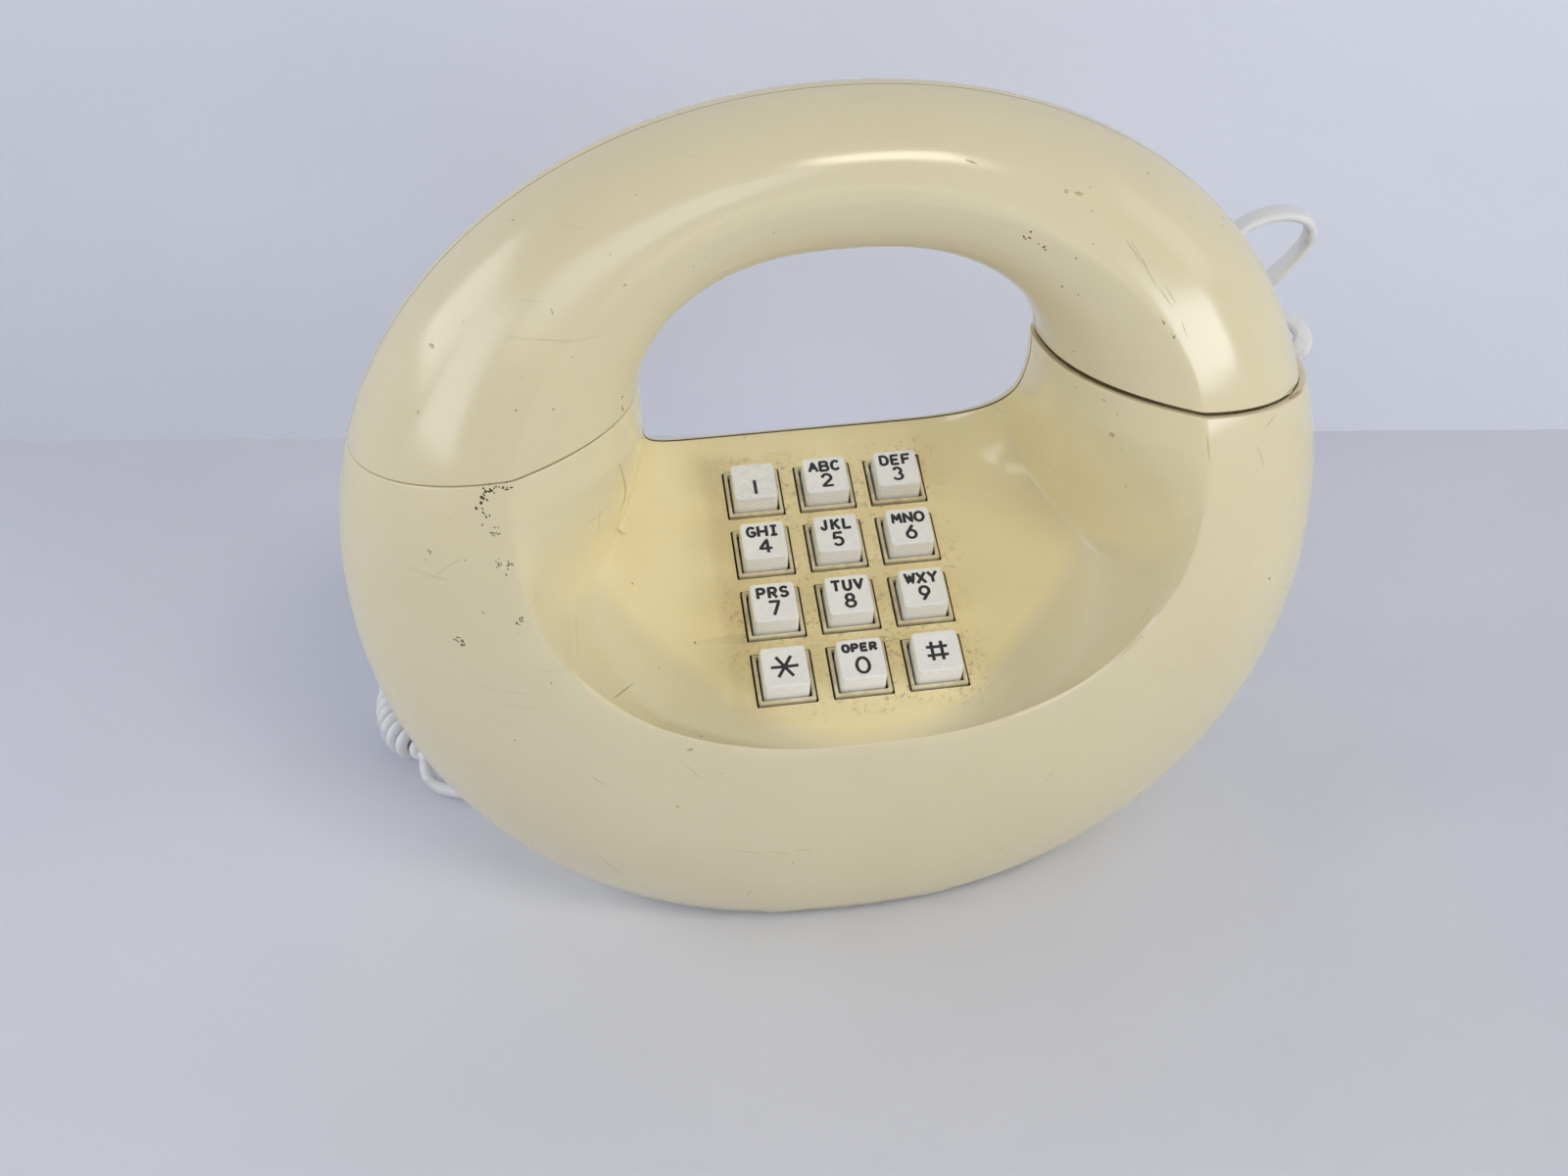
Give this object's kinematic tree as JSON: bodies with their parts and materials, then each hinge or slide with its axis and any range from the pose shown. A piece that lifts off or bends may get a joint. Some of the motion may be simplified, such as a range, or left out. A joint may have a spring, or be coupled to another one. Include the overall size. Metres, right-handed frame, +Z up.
{
  "type": "corded telephone",
  "caption": "Upright ring-shaped corded telephone: a base with a push-button pad in its bowl, and an arched handset that lifts off two seats.",
  "frame": {"origin": "centre of the bounding box at the underside of the feet, measured without the cords", "axes": "+X to the user's right, +Y to the back, +Z up; the keypad faces -Y and +Z"},
  "size_m": [0.2321, 0.1479, 0.1875],
  "materials": {
    "housing": "moulded, glossy, slightly yellowed, scuffed",
    "key": "moulded, smooth",
    "steel": "plated",
    "brass": "plain",
    "foot": "matt",
    "board": "laminate",
    "coil": "varnished winding",
    "network": "potted",
    "plunger": "moulded",
    "cord": "smooth vinyl",
    "tie": "twist tie",
    "plug": "clear to milky",
    "wire": "insulated"
  },
  "bodies": {
    "base": {"base_front_housing": "housing", "base_rear_housing": "housing", "chassis_plate": "steel", "chassis_screws": "steel", "foot_front_left": "foot", "foot_front_right": "foot", "foot_rear_left": "foot", "foot_rear_right": "foot", "keypad_frame": "housing", "keypad_board": "board", "keypad_contacts": "steel", "keypad_posts": "steel", "ringer_bracket": "steel", "ringer_coils": "coil", "gong_left": "brass", "gong_right": "brass", "gong_screws": "steel", "network_block": "network", "network_terminals": "brass", "hook_switch_body": "network", "hook_switch_bracket": "steel", "hook_spring": "steel", "seat_left": "housing", "seat_right": "housing", "cup_left": "housing", "cup_right": "housing", "base_cord_relief": "cord", "line_cord_relief": "cord", "line_cord": "cord", "line_cord_hank": "cord", "hank_tie": "tie", "line_plug": "plug", "curly_cord": "cord", "curly_tail_base": "cord", "curly_tail_handset": "cord"},
    "handset": {"handset_front_shell": "housing", "handset_rear_shell": "housing", "handset_end_left": "housing", "handset_end_right": "housing", "receiver_cap": "housing", "receiver_capsule": "steel", "transmitter_cap": "housing", "transmitter_capsule": "steel", "handset_wires": "wire", "handset_cord_relief": "cord"},
    "plunger": {"hook_plunger": "plunger"},
    "clapper": {"ringer_clapper": "steel"},
    "key_1_body": {"key_1": "key"},
    "key_2_body": {"key_2": "key"},
    "key_3_body": {"key_3": "key"},
    "key_4_body": {"key_4": "key"},
    "key_5_body": {"key_5": "key"},
    "key_6_body": {"key_6": "key"},
    "key_7_body": {"key_7": "key"},
    "key_8_body": {"key_8": "key"},
    "key_9_body": {"key_9": "key"},
    "key_star_body": {"key_star": "key"},
    "key_0_body": {"key_0": "key"},
    "key_hash_body": {"key_hash": "key"}
  },
  "joints": [
    {"name": "handset_lift", "type": "slide", "parent": "base", "child": "handset", "axis": [0, 0, 1], "range_m": [0, 0.08]},
    {"name": "hook_rise", "type": "slide", "parent": "base", "child": "plunger", "axis": [0, 0, 1], "range_m": [0, 0.004], "deforming": ["hook_spring"]},
    {"name": "clapper_swing", "type": "hinge", "parent": "base", "child": "clapper", "pos_m": [0, 0.0135, 0.012], "axis": [0, 1, 0], "range_deg": [-5, 5], "stiffness_Nm_per_rad": 0.002},
    {"name": "key_1_press", "type": "slide", "parent": "base", "child": "key_1_body", "axis": [0, 0.3024, -0.9532], "range_m": [0, 0.0028], "stiffness_N_per_m": 150, "springref_m": -0.002},
    {"name": "key_2_press", "type": "slide", "parent": "base", "child": "key_2_body", "axis": [0, 0.3024, -0.9532], "range_m": [0, 0.0028], "stiffness_N_per_m": 150, "springref_m": -0.002},
    {"name": "key_3_press", "type": "slide", "parent": "base", "child": "key_3_body", "axis": [0, 0.3024, -0.9532], "range_m": [0, 0.0028], "stiffness_N_per_m": 150, "springref_m": -0.002},
    {"name": "key_4_press", "type": "slide", "parent": "base", "child": "key_4_body", "axis": [0, 0.3024, -0.9532], "range_m": [0, 0.0028], "stiffness_N_per_m": 150, "springref_m": -0.002},
    {"name": "key_5_press", "type": "slide", "parent": "base", "child": "key_5_body", "axis": [0, 0.3024, -0.9532], "range_m": [0, 0.0028], "stiffness_N_per_m": 150, "springref_m": -0.002},
    {"name": "key_6_press", "type": "slide", "parent": "base", "child": "key_6_body", "axis": [0, 0.3024, -0.9532], "range_m": [0, 0.0028], "stiffness_N_per_m": 150, "springref_m": -0.002},
    {"name": "key_7_press", "type": "slide", "parent": "base", "child": "key_7_body", "axis": [0, 0.3024, -0.9532], "range_m": [0, 0.0028], "stiffness_N_per_m": 150, "springref_m": -0.002},
    {"name": "key_8_press", "type": "slide", "parent": "base", "child": "key_8_body", "axis": [0, 0.3024, -0.9532], "range_m": [0, 0.0028], "stiffness_N_per_m": 150, "springref_m": -0.002},
    {"name": "key_9_press", "type": "slide", "parent": "base", "child": "key_9_body", "axis": [0, 0.3024, -0.9532], "range_m": [0, 0.0028], "stiffness_N_per_m": 150, "springref_m": -0.002},
    {"name": "key_star_press", "type": "slide", "parent": "base", "child": "key_star_body", "axis": [0, 0.3024, -0.9532], "range_m": [0, 0.0028], "stiffness_N_per_m": 150, "springref_m": -0.002},
    {"name": "key_0_press", "type": "slide", "parent": "base", "child": "key_0_body", "axis": [0, 0.3024, -0.9532], "range_m": [0, 0.0028], "stiffness_N_per_m": 150, "springref_m": -0.002},
    {"name": "key_hash_press", "type": "slide", "parent": "base", "child": "key_hash_body", "axis": [0, 0.3024, -0.9532], "range_m": [0, 0.0028], "stiffness_N_per_m": 150, "springref_m": -0.002}
  ],
  "couplings": [
    {"joint": "hook_rise", "follows": "handset_lift", "ratio": 0.05}
  ]
}
